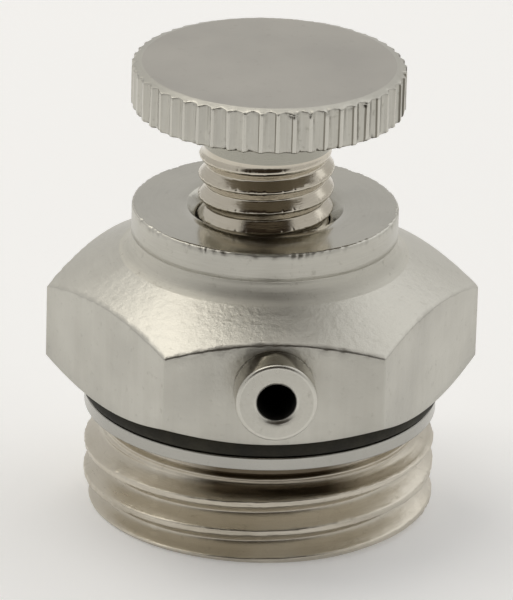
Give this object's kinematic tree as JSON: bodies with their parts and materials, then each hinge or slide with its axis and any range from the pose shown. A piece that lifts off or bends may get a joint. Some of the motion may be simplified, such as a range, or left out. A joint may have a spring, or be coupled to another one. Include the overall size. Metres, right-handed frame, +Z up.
{
  "type": "automatic air vent",
  "caption": "Automatic air vent for a radiator: hexagonal body with an O-ring under it on a threaded spigot, knurled vent screw on top and a short side nozzle.",
  "frame": {"origin": "centre of the threaded end's face, where the vent enters its fitting", "axes": "+Z up along the screw axis, from the thread's end to the knurled head; -Y is the way the side nozzle points"},
  "size_m": [0.0254, 0.0242, 0.0272],
  "materials": {
    "nickel_plated_brass": "satin nickel plate over machined brass",
    "nickel_plated_screw": "satin nickel plate over machined brass",
    "nickel_plated_nozzle": "satin nickel plate over turned brass",
    "black_rubber": "matte moulded rubber",
    "inner_rubber": "matte moulded rubber",
    "seal_rubber": "matte moulded rubber",
    "turned_brass": "turned, bare",
    "ring_brass": "turned, bare",
    "spindle_brass": "turned, bare",
    "spring_steel": "stainless spring steel",
    "spring_wire": "drawn stainless wire",
    "strainer_steel": "perforated stainless sheet",
    "washer_brass": "stamped, bare",
    "cellulose_fibre": "pressed cellulose fibre"
  },
  "bodies": {
    "body": {"valve_body": "nickel_plated_brass", "flange_o_ring": "black_rubber", "discharge_nozzle": "nickel_plated_nozzle", "seat_insert": "turned_brass", "insert_o_ring": "inner_rubber", "inlet_strainer": "strainer_steel", "retaining_ring": "ring_brass"},
    "cartridge": {"cartridge_spindle": "spindle_brass", "swivel_clip": "spring_steel", "seat_seal": "seal_rubber", "cartridge_washer_lower": "washer_brass", "cartridge_washer_upper": "washer_brass", "pack_spring": "spring_wire", "hygroscopic_disc_1": "cellulose_fibre", "hygroscopic_disc_2": "cellulose_fibre", "hygroscopic_disc_3": "cellulose_fibre", "hygroscopic_disc_4": "cellulose_fibre", "hygroscopic_disc_5": "cellulose_fibre", "hygroscopic_disc_6": "cellulose_fibre"},
    "screw": {"vent_screw": "nickel_plated_screw"}
  },
  "joints": [
    {"name": "screw_travel", "type": "slide", "parent": "body", "child": "cartridge", "axis": [0, 0, 1], "range_m": [-0.00438, 0.00125]},
    {"name": "screw_turn", "type": "hinge", "parent": "cartridge", "child": "screw", "pos_m": [0, 0, 0.02], "axis": [0, 0, 1], "range_deg": [-1261, 361]}
  ],
  "couplings": [
    {"joint": "screw_turn", "follows": "screw_travel", "rad_per_m": 5026.5}
  ]
}
